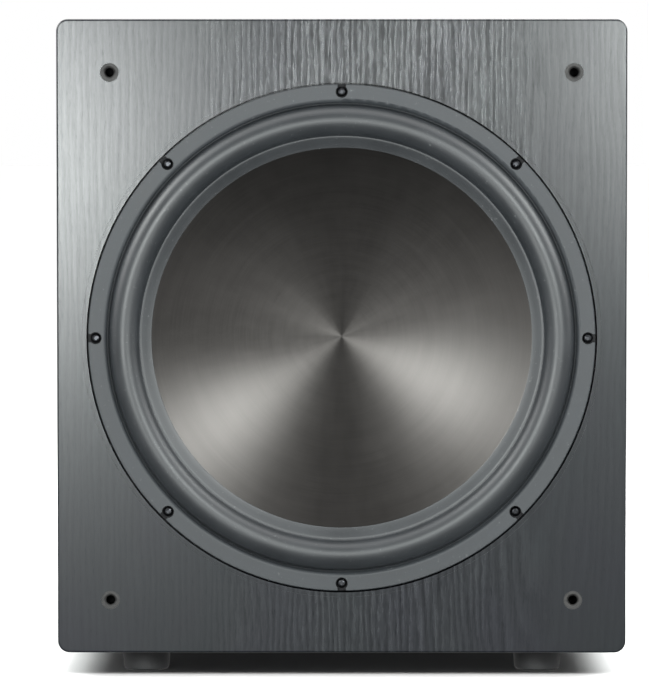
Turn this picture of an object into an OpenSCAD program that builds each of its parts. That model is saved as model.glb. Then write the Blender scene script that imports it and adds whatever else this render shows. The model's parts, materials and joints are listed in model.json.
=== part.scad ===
// Sealed, powered subwoofer with one long-throw driver and a plate amplifier.
// Millimetres. +Z is up, the driver faces -Y, and the origin is on the floor under the
// middle of the whole object. Nodes are drawn in place, so they fit together as they are.

/* [Cabinet] */
// Width of the cabinet across the front
cab_w = 440; // [436:1:480]
// Height of the cabinet without its feet
cab_h = 490; // [484:1:540]
// Depth of the cabinet, front face to back face
cab_d = 450; // [430:1:500]
// Thickness of the side, top and bottom panels
wall = 19; // [18:0.5:19]
// Thickness of the outer front baffle
baffle_t = 25; // [24:0.5:28]
// Thickness of the inner baffle that doubles the front
inner_t = 18; // [16:1:18]
// Thickness of the back panel
back_t = 22; // [20:1:24]
// Radius of the cabinet's four long corners
corner_r = 9; // [7:0.5:12]
// Radius of the roundover around the front face
front_edge = 1.5; // [1:0.5:5]
// Distance of the driver's axis below the middle of the front
driver_drop = 1; // [0:0.5:6]

/* [Feet] */
// Height of the rubber feet
foot_h = 20; // [14:1:30]
// Radius of the rubber feet
foot_r = 19; // [14:0.5:22]
// Distance from the middle of the cabinet to each foot, across
foot_x = 154; // [140:1:170]
// Distance of the feet from the front and back faces
foot_inset = 66; // [40:1:90]

/* [Grille sockets] */
// Distance between the grille sockets, across
socket_dx = 358; // [350:1:370]
// Distance between the grille sockets, up
socket_dz = 408; // [404:1:420]
// Radius of the hole that takes a grille peg
socket_bore_r = 3.4; // [3:0.1:4]

/* [Driver] */
// Outer radius of the driver's frame and trim ring
frame_r = 196; // [194:0.5:196]
// Radius of the circle that the mounting screws sit on
screw_circle_r = 190.2; // [189.8:0.1:190.7]
// Number of mounting screws
screw_count = 8; // [4:4:8]
// Radius to the middle of the rubber roll
roll_mid_r = 168.2; // [167:0.1:169]
// Outside radius of the roll's half-round section
roll_r = 11.9; // [11:0.1:12]
// Thickness of the rubber roll
roll_t = 1.6; // [1.2:0.1:2]
// Radius of the visible metal dish
dish_r = 147; // [145:0.5:148]
// Depth of the dish at its centre
dish_depth = 26; // [20:1:32]
// Outside radius of the voice coil former
former_r = 38.6; // [38:0.1:38.8]

/* [Amplifier] */
// Width of the amplifier's plate
plate_w = 262; // [250:1:280]
// Height of the amplifier's plate
plate_h = 332; // [320:1:340]
// Thickness of the plate
plate_t = 4; // [3:0.5:5]
// Depth of the metal can behind the plate
can_depth = 80; // [76:1:90]
// Height of the knobs above the plate
knob_h = 16.5; // [14:0.5:20]

/* [Hidden] */
$fn = 96;

clear = 0.1;                        // gap between round faces that would otherwise touch
over = 1;                           // how far a cutting tool passes the face that it cuts

// Places along the driver's axis, measured back from the front face
seat_a = 4.5;                       // the frame's face, under the trim ring
ring_a = 0.5;                       // the trim ring's face, just below the baffle's
lip_a = 6;                          // the step that the roll's outer lip is glued to
lip_r = 184.4;                      // outer radius of that step
flange_a = 13.5;                    // back of the frame's flange
gasket_t = 2;
rebate_a = flange_a + gasket_t;     // floor of the baffle's rebate
rebate_r = frame_r + 1.3;
step_w = 3.4;                       // the shallow step around the rebate
step_a = 0.8;
hole_r = 179.5;                     // the hole through both baffles
shelf_a = 88;                       // the frame's shelf that the spider is glued to
base_a = 118;                       // the frame's base
motor_a = base_a + 8;               // front of the top plate
top_plate_t = 12;
magnet_a = motor_a + top_plate_t;
magnet_t = 22;
yoke_a = magnet_a + 2 * magnet_t;
yoke_t = 12;
pole_a = motor_a - 2;
pole_r = 36.9;
former_end_a = 158;
coil_a = motor_a + top_plate_t / 2 - 15;
coil_len = 30;
cone_t = 1.3;
rim_r = 156;
dish_sphere_r = (dish_r * dish_r + dish_depth * dish_depth) / (2 * dish_depth);
dish_centre_a = seat_a + dish_depth - dish_sphere_r;
former_t = 0.6;
glue = 0.2;                         // thickness of the glue between the dish and the former
former_start_a = dish_centre_a + sqrt(pow(dish_sphere_r + cone_t, 2)
    - pow(former_r - former_t, 2)) + glue;
lead_a = 62;                        // the flexible leads and the terminals
brace_a = 216;
brace_t = 18;

// Sizes of the small parts
screw_shank_r = 2.5;
pocket_r = 4.7;                     // pockets in the trim ring for the screw heads
notch_w = 6.4;                      // where a pocket opens through the ring's outer edge
socket_flange_r = 7.1;
socket_len = 16;
spoke_w = 15;
cut_w = plate_w - 36;               // the back panel's cut-out
cut_h = plate_h - 36;
can_w = cut_w - 4;
can_h = cut_h - 4;
can_t = 1.5;
amp_gasket_t = 2;
main_board_b = 70;                  // boards, measured in from the back face
control_board_b = 14;
board_t = 1.6;

// Where the controls sit on the plate: across (as seen in X) and up from the plate's middle
knob_v = 105;
knob_u = [66, 0, -66];
toggle_v = 50;
toggle_u = [40, -40];
rca_v = -10;
rca_u = [66, 42, -42, -66];
inlet_u = 50;
rocker_u = -50;
power_v = -110;

// The switches' pivots
rocker_tip = 8;
rocker_pivot_b = 5;
rocker_axle_r = 1.4;
toggle_pivot = 3.4;
toggle_tip = 12;
toggle_pin_r = 0.5;

// The object's frame
front_reach = roll_r - seat_a;      // how far the roll stands in front of the face
total_d = cab_d + front_reach + knob_h;
y_face = front_reach - total_d / 2;
y_back = y_face + cab_d;
z_mid = foot_h + cab_h / 2;
z_driver = z_mid - driver_drop;
in_w = cab_w - 2 * wall;            // inside of the cabinet
in_h = cab_h - 2 * wall;

// ---- Frames of reference ----

// Puts its children on the driver's axis, with their z running back from the front face
module on_axis() translate([0, y_face, z_driver]) rotate([-90, 0, 0]) children();

// Puts its children on the back face at x and at v above its middle, with their y pointing up
// and their z pointing out
module on_back(x = 0, v = 0) translate([x, y_back, z_mid + v])
    rotate([-90, 0, 0]) mirror([0, 1, 0]) children();

// Repeats its children evenly around the z axis
module around(n, start = 0) for (k = [0:n - 1]) rotate([0, 0, start + k * 360 / n]) children();

// ---- Shared shapes ----

// A solid of revolution from a profile of [radius, height] points
module turned(profile) rotate_extrude() polygon(profile);

// A tube between two heights
module ring(r_out, r_in, z0, z1) difference() {
    translate([0, 0, z0]) cylinder(r = r_out, h = z1 - z0);
    translate([0, 0, z0 - over]) cylinder(r = r_in, h = z1 - z0 + 2 * over);
}

// A rectangle with round corners, centred
module rounded_rect(w, h, r) {
    square([w - 2 * r, h], center = true);
    square([w, h - 2 * r], center = true);
    for (x = [-1, 1], y = [-1, 1]) translate([x * (w / 2 - r), y * (h / 2 - r)]) circle(r);
}

// A plate with round corners and a quarter-round edge e around its upper face. It is laid out
// as a middle, four sides and four corners that meet on flat faces.
module soft_slab(w, h, r, t, e) {
    module side_profile() {
        square([r, t - e]);
        translate([0, t - e]) square([r - e, e]);
        translate([r - e, t - e]) intersection() {
            circle(e);
            square(e);
        }
    }
    module side(length) rotate([90, 0, 0]) linear_extrude(length, center = true) side_profile();
    translate([0, 0, t / 2]) cube([w - 2 * r, h - 2 * r, t], center = true);
    for (s = [0, 180]) rotate([0, 0, s]) translate([w / 2 - r, 0, 0]) side(h - 2 * r);
    for (s = [90, 270]) rotate([0, 0, s]) translate([h / 2 - r, 0, 0]) side(w - 2 * r);
    for (x = [-1, 1], y = [-1, 1])
        translate([x * (w / 2 - r), y * (h / 2 - r), 0])
            rotate([0, 0, x > 0 ? (y > 0 ? 0 : 270) : (y > 0 ? 90 : 180)])
                rotate_extrude(angle = 90) side_profile();
}

// A box centred across and up, between two depths below the back face
module box_in(w, h, b0, b1) translate([-w / 2, -h / 2, -b1]) cube([w, h, b1 - b0]);

// A hexagonal nut, across its flats, with its hole
module hex_nut(flats, hole, t) difference() {
    cylinder(d = flats / cos(30), h = t, $fn = 6);
    translate([0, 0, -over]) cylinder(r = hole, h = t + 2 * over);
}

// A pan-head screw: head above z = 0 with a cross recess, shank below
module pan_screw(head_r, head_h, shank_r, length) {
    difference() {
        turned([[0, 0], [head_r, 0], [head_r, head_h * 0.45], [head_r * 0.86, head_h * 0.8],
                [head_r * 0.6, head_h], [0, head_h]]);
        for (s = [0, 90]) rotate([0, 0, s])
            translate([-head_r * 0.55, -head_r * 0.1, head_h * 0.4])
                cube([head_r * 1.1, head_r * 0.2, head_h]);
    }
    translate([0, 0, -length]) cylinder(r = shank_r, h = length);
}

// ---- Smooth tubes through a few points ----

function bend(a, b, c, d, t) = 0.5 * ((2 * b) + (c - a) * t + (2 * a - 5 * b + 4 * c - d) * t * t
    + (3 * b - a - 3 * c + d) * t * t * t);
function smooth(p, steps) = [
    for (i = [0:len(p) - 2], s = [0:steps - 1])
        bend(p[max(i - 1, 0)], p[i], p[i + 1], p[min(i + 2, len(p) - 1)], s / steps),
    p[len(p) - 1]
];
function unit(v) = v / norm(v);
function heading(p, i) = unit(p[min(i + 1, len(p) - 1)] - p[max(i - 1, 0)]);
// A direction across the path, kept near the one before so that the tube doesn't twist
function across(d, before) = unit(before - (before * d) * d);
function sides_of(p, i = 0, before = [0.2, 0.3, 1]) = i == len(p) ? [] :
    let (a = across(heading(p, i), before)) concat([a], sides_of(p, i + 1, a));

module tube(points, r, steps, sides = 8) {
    p = smooth(points, steps);
    a = sides_of(p);
    rings = len(p);
    verts = [
        for (i = [0:rings - 1], k = [0:sides - 1])
            let (b = cross(heading(p, i), a[i]), t = 360 * k / sides)
                p[i] + r * (cos(t) * a[i] + sin(t) * b)
    ];
    walls = [
        for (i = [0:rings - 2], k = [0:sides - 1])
            let (n = (k + 1) % sides)
                [i * sides + k, (i + 1) * sides + k, (i + 1) * sides + n, i * sides + n]
    ];
    polyhedron(verts, concat(walls, [
        [for (k = [0:sides - 1]) k],
        [for (k = [sides - 1:-1:0]) (rings - 1) * sides + k]
    ]), convexity = 6);
}

// ---- Cabinet ----

module socket_places() for (x = [-1, 1], z = [-1, 1])
    translate([x * socket_dx / 2, y_face, z_mid + z * socket_dz / 2]) rotate([90, 0, 0]) children();

module foot_places() for (x = [-1, 1], y = [y_face + foot_inset, y_back - foot_inset])
    translate([x * foot_x, y, 0]) children();

// The holes for the driver's screws, as tools on the driver's axis
module screw_places() around(screw_count) translate([screw_circle_r, 0, 0]) children();

module front_baffle() color("dimgray") difference() {
    translate([0, y_face + baffle_t, z_mid]) rotate([90, 0, 0])
        soft_slab(cab_w, cab_h, corner_r, baffle_t, front_edge);
    on_axis() {
        translate([0, 0, -over]) cylinder(r = rebate_r, h = rebate_a + over);
        translate([0, 0, -over]) cylinder(r = rebate_r + step_w, h = step_a + over);
        cylinder(r = hole_r, h = baffle_t + over);
        screw_places() cylinder(r = 3, h = baffle_t + over);
    }
    socket_places() {
        translate([0, 0, -socket_len]) cylinder(r = 5.9, h = socket_len + over);
        translate([0, 0, -1.2]) cylinder(r = socket_flange_r + clear, h = 1.2 + over);
    }
}

module inner_baffle() color("tan") difference() {
    translate([-in_w / 2, y_face + baffle_t, z_mid - in_h / 2]) cube([in_w, inner_t, in_h]);
    on_axis() translate([0, 0, baffle_t]) {
        translate([0, 0, -over]) cylinder(r = hole_r, h = inner_t + 2 * over);
        screw_places() {
            translate([0, 0, -over]) cylinder(r = 3, h = inner_t + over);
            translate([0, 0, inner_t - 10]) cylinder(r = 4.1, h = 10 + over);
        }
    }
}

// One wall of the wrapped box, cut from the rounded outline by its two mitres. It runs along
// the outline's +x side before it is turned into place.
module mitred_wall(turn) {
    half_w = turn % 180 == 0 ? cab_w / 2 : cab_h / 2;
    half_h = turn % 180 == 0 ? cab_h / 2 : cab_w / 2;
    translate([0, y_face + baffle_t, z_mid]) rotate([-90, 0, 0])
        linear_extrude(cab_d - baffle_t - back_t) rotate([0, 0, turn]) intersection() {
            rounded_rect(2 * half_w, 2 * half_h, corner_r);
            polygon([[half_w - wall, half_h - wall], [half_w + wall, half_h + wall],
                     [half_w + wall, -half_h - wall], [half_w - wall, -half_h + wall]]);
        }
}

module right_panel() color("dimgray") mitred_wall(0);
module left_panel() color("dimgray") mitred_wall(180);
module top_panel() color("dimgray") mitred_wall(-90);

module bottom_panel() color("dimgray") difference() {
    mitred_wall(90);
    foot_places() translate([0, 0, foot_h - over]) cylinder(r = 2.2, h = 15 + over);
}

// Where the amplifier's screws go, on the plate
module amp_screw_places() {
    for (x = [-1, 1], v = [-1.5:1:1.5]) translate([x * 123, v * 105.3, 0]) children();
    for (x = [-1, 1], v = [-1, 1]) translate([x * 41, v * 158, 0]) children();
}

module back_panel() color("dimgray") difference() {
    translate([0, y_back - back_t, z_mid]) rotate([-90, 0, 0])
        soft_slab(cab_w, cab_h, corner_r, back_t, 2);
    on_back() {
        translate([0, 0, -plate_t - amp_gasket_t])
            linear_extrude(20) rounded_rect(plate_w + 2, plate_h + 2, 5);
        box_in(cut_w, cut_h, -over, back_t + over);
        amp_screw_places() translate([0, 0, -20]) cylinder(r = 2, h = 20);
    }
}

// A board across the box behind the driver, with four windows
module window_brace() color("tan") {
    window_w = (in_w - 3 * 44) / 2;
    window_h = (in_h - 3 * 44) / 2;
    difference() {
        translate([-in_w / 2, y_face + brace_a, z_mid - in_h / 2]) cube([in_w, brace_t, in_h]);
        for (x = [-1, 1], z = [-1, 1])
            translate([x * (window_w + 44) / 2, y_face + brace_a - over,
                       z_mid + z * (window_h + 44) / 2])
                rotate([-90, 0, 0]) linear_extrude(brace_t + 2 * over)
                    rounded_rect(window_w, window_h, 25);
    }
}

// Wadding on the walls: a pad above and below the driver, and pads around the amplifier
pad_t = 20;
module level_pad(z, a0, a1) translate([-160, y_face + a0, z]) cube([320, a1 - a0, pad_t]);
module damping_lining() color("white") {
    for (z = [z_mid + in_h / 2 - pad_t, z_mid - in_h / 2]) {
        level_pad(z, 62, 206);
        level_pad(z, 246, 416);
    }
    for (x = [-in_w / 2, in_w / 2 - pad_t])
        translate([x, y_face + 246, z_mid - 180]) cube([pad_t, 170, 360]);
}

// Plastic cups that take the grille's pegs, with a flared mouth
module grille_sockets() color("black") socket_places() difference() {
    union() {
        translate([0, 0, -socket_len + 0.5]) cylinder(r = 5.8, h = socket_len - 0.5);
        translate([0, 0, -1.2]) cylinder(r = socket_flange_r, h = 1.2);
    }
    translate([0, 0, -14]) cylinder(r = socket_bore_r, h = 14 + over);
    translate([0, 0, -1.6]) cylinder(r1 = socket_bore_r, r2 = socket_bore_r + 1.8, h = 1.8);
}

module rubber_feet() color("black") foot_places() difference() {
    turned([[0, 0], [foot_r - 2.5, 0], [foot_r - 1.2, 1.4], [foot_r, foot_h - 1],
            [foot_r - 0.6, foot_h], [0, foot_h]]);
    translate([0, 0, -over]) cylinder(r = 5.6, h = 8 + over);
    translate([0, 0, -over]) cylinder(r = 2.3, h = foot_h + 2 * over);
}

module foot_screws() color("silver") foot_places()
    translate([0, 0, 8]) rotate([180, 0, 0]) pan_screw(4.8, 3.2, 2.1, foot_h - 8 + 14);

// ---- Driver: fixed parts ----

module driver_frame() color("silver") on_axis() difference() {
    union() {
        // flange, the lip's step and the neck behind it
        turned([[168, lip_a], [lip_r, lip_a], [lip_r, seat_a], [frame_r, seat_a],
                [frame_r, flange_a], [177, flange_a], [177, 30], [174, 44], [164, 44], [168, 30]]);
        // spider shelf, cup and base
        turned([[92, shelf_a], [104, shelf_a], [104, motor_a], [46, motor_a],
                [46, base_a], [96, base_a], [96, shelf_a + 8], [92, shelf_a + 8]]);
        around(8) rotate([90, 0, 0]) linear_extrude(spoke_w, center = true)
            polygon([[169, 22], [176, 22], [173, 44], [108, 116], [98, 116],
                     [98, 91], [104, 88.5], [161, 44]]);
        around(2) translate([138, 0, lead_a]) rotate([0, 90, 0]) cylinder(r = 8.6, h = 20);
    }
    // windows through the cup, between the spokes
    around(8, 22.5) translate([90, -26, shelf_a + 11]) cube([20, 52, 15]);
    screw_places() translate([0, 0, seat_a - over]) cylinder(r = 2.75, h = 20);
    around(6) translate([66, 0, base_a - over]) cylinder(r = 2.6, h = 20);
    around(2) translate([0, 0, lead_a]) rotate([0, 90, 0]) {
        translate([0, 0, 120]) cylinder(r = 4.6, h = 60);
        translate([0, 0, 158]) cylinder(r = 8.6, h = 30);
    }
}

module frame_gasket() color("black") on_axis() difference() {
    ring(195, 182, flange_a, rebate_a);
    screw_places() translate([0, 0, flange_a - over]) cylinder(r = 3.2, h = gasket_t + 2 * over);
}

// Rubber ring over the frame's flange, with a well-rounded inner edge and screw pockets
module trim_ring() color("dimgray") on_axis() difference() {
    rotate_extrude() difference() {
        translate([181.6, ring_a]) square([frame_r - 181.6, seat_a - ring_a]);
        difference() {
            translate([181.6 - over, ring_a - over]) square([3.4 + over, 3.4 + over]);
            translate([185, ring_a + 3.4]) circle(3.4);
        }
        translate([frame_r, ring_a]) rotate([0, 0, 45]) square(0.9, center = true);
    }
    screw_places() {
        cylinder(r = pocket_r, h = 20);
        translate([0, -notch_w / 2, 0]) cube([20, notch_w, 20]);
    }
}

module driver_screws() color("dimgray") on_axis() screw_places() {
    difference() {
        turned([[0, seat_a - 2.9], [1.4, seat_a - 2.8], [2.5, seat_a - 2.4], [3.3, seat_a - 1.7],
                [3.8, seat_a - 0.7], [3.8, seat_a], [0, seat_a]]);
        translate([0, 0, seat_a - 2.8 - over]) cylinder(d = 3 / cos(30), h = 1.9 + over, $fn = 6);
    }
    translate([0, 0, seat_a]) cylinder(r = screw_shank_r, h = 43);
}

module tee_nuts() color("silver") on_axis() screw_places() difference() {
    union() {
        translate([0, 0, baffle_t + inner_t - 9.5]) cylinder(r = 4, h = 9.5);
        translate([0, 0, baffle_t + inner_t]) cylinder(r = 8.5, h = 1.5);
    }
    translate([0, 0, baffle_t + inner_t - 10]) cylinder(r = screw_shank_r + 0.05, h = 20);
}

module top_plate() color("dimgray") on_axis() difference() {
    ring(86, 40.8, motor_a, magnet_a);
    around(6) translate([66, 0, motor_a - over]) cylinder(r = 2.55, h = 10 + over);
}

module magnets() color("#3a3a3c") on_axis() {
    ring(92, 55, magnet_a, magnet_a + magnet_t - 0.1);
    ring(92, 55, magnet_a + magnet_t, yoke_a);
}

module pole_yoke() color("dimgray") on_axis() difference() {
    turned([[0, pole_a], [pole_r - 2, pole_a], [pole_r, pole_a + 3], [pole_r, yoke_a],
            [84, yoke_a], [86, yoke_a + 2], [86, yoke_a + yoke_t - 2],
            [84, yoke_a + yoke_t], [0, yoke_a + yoke_t]]);
    translate([0, 0, pole_a - over]) cylinder(r = 12, h = 100);
    translate([0, 0, yoke_a + 3]) cylinder(r1 = 12, r2 = 20, h = yoke_t - 2);
}

module shorting_ring() color("orange") on_axis() ring(54.5, 43.5, magnet_a + 8, yoke_a);

module motor_bolts() color("silver") on_axis() around(6) translate([66, 0, 0]) {
    difference() {
        translate([0, 0, base_a - 5]) cylinder(r = 4.2, h = 5);
        translate([0, 0, base_a - 5 - over]) cylinder(d = 4 / cos(30), h = 3 + over, $fn = 6);
    }
    translate([0, 0, base_a]) cylinder(r = 2.5, h = 16.5);
}

// The driver's two terminals pass through the spokes at its left and right
module terminal_bushes() color("black") on_axis() around(2)
    translate([0, 0, lead_a]) rotate([0, 90, 0]) difference() {
        union() {
            translate([0, 0, 134]) cylinder(r = 4.5, h = 27);
            translate([0, 0, 158]) cylinder(r = 7, h = 3);
        }
        translate([0, 0, 130]) cylinder(r = 2.5 + clear, h = 40);
    }

module terminal_posts() color("gold") on_axis() around(2)
    translate([0, 0, lead_a]) rotate([0, 90, 0]) {
        translate([0, 0, 131]) cylinder(r = 2.5, h = 35);
        translate([0, 0, 161]) cylinder(r = 4.5, h = 2.5);
    }

// ---- Driver: parts that flex ----

// Half-round rubber roll with its inner lip on the cone's rim and its outer lip on the frame
module surround() color("#4a4d50") on_axis() rotate_extrude() {
    difference() {
        translate([roll_mid_r, seat_a]) circle(roll_r);
        translate([roll_mid_r, seat_a]) circle(roll_r - roll_t);
        translate([roll_mid_r - 20, seat_a]) square([40, 20]);
    }
    translate([dish_r, seat_a - 1.5]) square([roll_mid_r - roll_r + roll_t - dish_r, 1.5]);
    translate([roll_mid_r + roll_r - roll_t, seat_a])
        square([lip_r - 0.2 - roll_mid_r - roll_r + roll_t, 1.5]);
}

// Corrugated cloth disc that centres the voice coil
spider_in = former_r + 0.3;
spider_waves = 6;
function spider_a(r) = shelf_a - 3.4 + (r < 46 || r > 90 ? 0 : 2.4 * sin(360 * spider_waves * (r - 46) / 44));
module spider() color("goldenrod") on_axis() {
    radii = concat([spider_in], [for (k = [0:36]) 46 + 44 * k / 36], [102]);
    turned(concat([for (r = radii) [r, spider_a(r)]],
                  [for (k = [len(radii) - 1:-1:0]) [radii[k], spider_a(radii[k]) + 0.8]]));
    ring(102, 92.5, spider_a(100) + 0.8, shelf_a);
}

// Flexible leads from the former out to the terminals, each a shallow arc
module tinsel_leads() color("orange") on_axis() around(2) {
    inner_r = former_r + 0.5;
    outer_r = 130.7;
    half = (outer_r - inner_r) / 2;
    sag = 9;
    bow = (half * half + sag * sag) / (2 * sag);
    span = asin(half / bow);
    translate([inner_r + half, 0, lead_a - bow + sag]) rotate([90, 0, 0])
        rotate([0, 0, 90 - span]) rotate_extrude(angle = 2 * span) translate([bow, 0]) circle(1);
}

// ---- Driver: parts that move with the voice coil ----

// Turned aluminium dish, part of a sphere, with a flat rim under the roll's inner lip
module cone() color("gray") on_axis() rotate_extrude() {
    intersection() {
        difference() {
            translate([0, dish_centre_a]) circle(dish_sphere_r + cone_t);
            translate([0, dish_centre_a]) circle(dish_sphere_r);
        }
        translate([0, seat_a]) square([dish_r + cone_t, 2 * dish_depth]);
    }
    translate([dish_r, seat_a]) square([rim_r - dish_r, cone_t]);
}

module coil_former() color("khaki") on_axis()
    ring(former_r, former_r - former_t, former_start_a, former_end_a);

module voice_coil() color("chocolate") on_axis()
    ring(former_r + 1.25, former_r + 0.05, coil_a, coil_a + coil_len);

// ---- Wires inside the box ----

// Routes from the main board, out of the can and through the brace to each terminal:
// [across, back from the face, up from the driver's axis]
wire_route = [[12, 378.2, 60], [13, 352, 62], [60, 318, 74], [98, 276, 80], [108, 226, 78],
              [132, 170, 50], [164, 106, 15], [183, 74, 2], [177, 62.2, 0], [166.2, 62, 0]];
module speaker_wires() for (s = [-1, 1]) color(s > 0 ? "red" : "black")
    tube([for (p = wire_route) [s * p[0], y_face + p[1], z_driver + p[2]]], 1.8, 4);

// ---- Amplifier: fixed parts ----

module knob_places() for (x = knob_u) on_back(x, knob_v) children();
module toggle_places() for (x = toggle_u) on_back(x, toggle_v) children();
module rca_places() for (x = rca_u) on_back(x, rca_v) children();

module amp_plate() color("#2b2b2d") difference() {
    on_back() translate([0, 0, -plate_t]) linear_extrude(plate_t) rounded_rect(plate_w, plate_h, 4);
    on_back() amp_screw_places() translate([0, 0, -10]) cylinder(r = 2.1, h = 20);
    knob_places() translate([0, 0, -10]) cylinder(r = 4.1, h = 20);
    toggle_places() translate([0, 0, -10]) cylinder(r = 3.1, h = 20);
    rca_places() translate([0, 0, -10]) cylinder(r = 4.6, h = 20);
    on_back(0, toggle_v) translate([0, 0, -10]) cylinder(r = 2.6, h = 20);
    on_back(inlet_u, power_v) box_in(28, 32, -over, 10);
    on_back(rocker_u, power_v) box_in(20, 27.4, -over, 10);
}

module amp_gasket() color("black") on_back() difference() {
    translate([0, 0, -plate_t - amp_gasket_t])
        linear_extrude(amp_gasket_t) rounded_rect(plate_w, plate_h, 4);
    box_in(cut_w, cut_h, 0, 10);
    amp_screw_places() translate([0, 0, -10]) cylinder(r = 2.3, h = 20);
}

module amp_screws() color("black") on_back() amp_screw_places() pan_screw(3.8, 2.4, 1.9, 19);

module amp_can() color("silver") on_back() difference() {
    box_in(can_w, can_h, plate_t, plate_t + can_depth);
    box_in(can_w - 2 * can_t, can_h - 2 * can_t, plate_t - over, plate_t + can_depth - can_t);
    translate([0, 59, -100]) linear_extrude(40) rounded_rect(44, 16, 7);
}

module main_board() color("darkgreen") on_back(0, -10)
    box_in(196, 250, main_board_b, main_board_b + board_t);

// Toroidal mains transformer
module transformer() color("goldenrod") on_back(0, 40) translate([0, 0, -main_board_b])
    turned([[16, 2], [18, 0], [42, 0], [46, 4], [46, 38], [42, 42], [18, 42], [16, 40]]);

module capacitors() color("navy") for (x = [-72, 72], v = [62, 20]) on_back(x, v)
    translate([0, 0, -main_board_b])
        turned([[0, 0], [17, 0], [17, 4], [16.2, 5], [17, 6], [17, 43.5], [15.8, 45], [0, 45]]);

// Finned heat sink for the output stage
module heat_sink() color("gray") on_back(0, -58) {
    box_in(170, 44, main_board_b - 5, main_board_b);
    for (k = [-8:8]) translate([k * 10, 0, 0]) box_in(2, 44, main_board_b - 32, main_board_b - 4);
}

module output_chokes() color("chocolate") for (x = [-74, 74]) on_back(x, -20)
    translate([0, 0, -main_board_b]) turned([[6, 1], [7, 0], [13, 0], [14, 1], [14, 11], [13, 12],
                                             [7, 12], [6, 11]]);

module board_standoffs() color("gold") {
    for (x = [-90, 90], v = [-127, 107]) on_back(x, v)
        translate([0, 0, -plate_t - can_depth + can_t])
            cylinder(d = 6 / cos(30), h = can_depth + plate_t - can_t - main_board_b - board_t, $fn = 6);
    for (x = [-84, 84], v = [-20, 122]) on_back(x, v)
        translate([0, 0, -control_board_b])
            cylinder(d = 6 / cos(30), h = control_board_b - plate_t, $fn = 6);
}

module control_board() color("darkgreen") on_back(0, 52)
    box_in(190, 160, control_board_b, control_board_b + board_t);

// Rotary controls: a square body on the board and a bushing through the plate
module potentiometers() color("darkgray") knob_places() difference() {
    union() {
        box_in(17, 20, plate_t + 0.5, control_board_b);
        translate([0, 0, -plate_t - 1]) cylinder(r = 4, h = plate_t + 5.5);
    }
    translate([0, 0, -13.4]) cylinder(r = 3.4, h = 30);
}

module toggle_bodies() color("silver") toggle_places() difference() {
    union() {
        box_in(8, 13, plate_t + 0.5, control_board_b);
        translate([0, 0, -plate_t - 1]) cylinder(r = 3, h = plate_t + 7);
    }
    translate([0, 0, 0.2]) cylinder(r = 2.7, h = 20);
    translate([0, 0, toggle_pivot]) rotate([0, 90, 0])
        cylinder(r = toggle_pin_r + 0.06, h = 10, center = true);
}

// Hex nuts and washers that hold the rotary controls and the toggle switches to the plate
module panel_nuts() color("silver") {
    knob_places() {
        ring(6.2, 4.05, 0, 0.6);
        translate([0, 0, 0.6]) hex_nut(10.4, 4.05, 2);
    }
    toggle_places() {
        ring(4.6, 3.05, 0, 0.5);
        translate([0, 0, 0.5]) hex_nut(7.8, 3.05, 1.8);
    }
}

module rca_shells() color("gold") rca_places() difference() {
    union() {
        translate([0, 0, 1.4]) cylinder(r = 4.15, h = 8.6);
        translate([0, 0, 1.4]) cylinder(d = 10 / cos(30), h = 1.8, $fn = 6);
        translate([0, 0, -control_board_b]) cylinder(r = 4, h = control_board_b + 2);
    }
    translate([0, 0, -control_board_b + 2]) cylinder(r = 3.5, h = 40);
}

// Insulation of the phono jacks: a centre with the pin's hole, and a coloured washer
module rca_inserts() for (i = [0:3]) color(i % 2 == 0 ? "red" : "white") on_back(rca_u[i], rca_v) {
    difference() {
        translate([0, 0, -control_board_b + 2]) cylinder(r = 3.4, h = control_board_b + 7.4);
        translate([0, 0, -4]) cylinder(r = 1.65, h = 20);
    }
    ring(7.2, 4.2, 0, 1.4);
}

// Mains inlet with a slot for the fuse drawer under it
cavity_v = 5;
drawer_v = -10.6;
cavity_b = 17;
module cavity_outline() translate([0, cavity_v])
    polygon([[-12, -8.2], [12, -8.2], [12, 3.4], [7.2, 8.2], [-7.2, 8.2], [-12, 3.4]]);

module mains_inlet() color("black") on_back(inlet_u, power_v) difference() {
    union() {
        linear_extrude(2.5) rounded_rect(50, 34, 3);
        box_in(27.4, 31.4, 0, 30);
    }
    translate([0, 0, -cavity_b]) linear_extrude(40) cavity_outline();
    translate([0, drawer_v, 0]) box_in(24.4, 6.4, -5, 21);
    for (x = [-1, 1]) translate([x * 20, 0, -over]) cylinder(r = 1.8, h = 5);
}

module inlet_pins() color("silver") on_back(inlet_u, power_v)
    for (p = [[-7, -2], [7, -2], [0, 2]]) translate([p[0], cavity_v + p[1], 0])
        box_in(2, 4, 1, cavity_b);

module inlet_screws() color("silver") for (x = [-20, 20]) on_back(inlet_u + x, power_v)
    translate([0, 0, 2.5]) pan_screw(3, 1.8, 1.45, 2.4);

module fuse_drawer() color("dimgray") on_back(inlet_u, power_v + drawer_v) difference() {
    union() {
        box_in(23.8, 5.8, -2.5, 20);
        box_in(10, 2, -4, 0);
    }
    box_in(21, 8, 6, 13);
}

module fuse() color("lightgray") on_back(inlet_u, power_v + drawer_v)
    translate([0, 0, -9.5]) rotate([0, 90, 0]) cylinder(r = 2.5, h = 20, center = true);

module rocker_housing() color("black") on_back(rocker_u, power_v) difference() {
    union() {
        linear_extrude(2) rounded_rect(23, 30.5, 2);
        box_in(19.4, 26.8, 0, 22);
    }
    box_in(15.6, 23.6, -5, 12);
    translate([0, 0, -rocker_pivot_b]) rotate([0, 90, 0])
        cylinder(r = rocker_axle_r + 0.08, h = 17.8, center = true);
}

module status_light() color("deepskyblue") on_back(0, toggle_v) {
    translate([0, 0, -control_board_b]) cylinder(r = 2.5, h = control_board_b);
    intersection() {
        sphere(2.5);
        cylinder(r = 3, h = 3);
    }
}

// ---- Amplifier: parts that move ----

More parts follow.
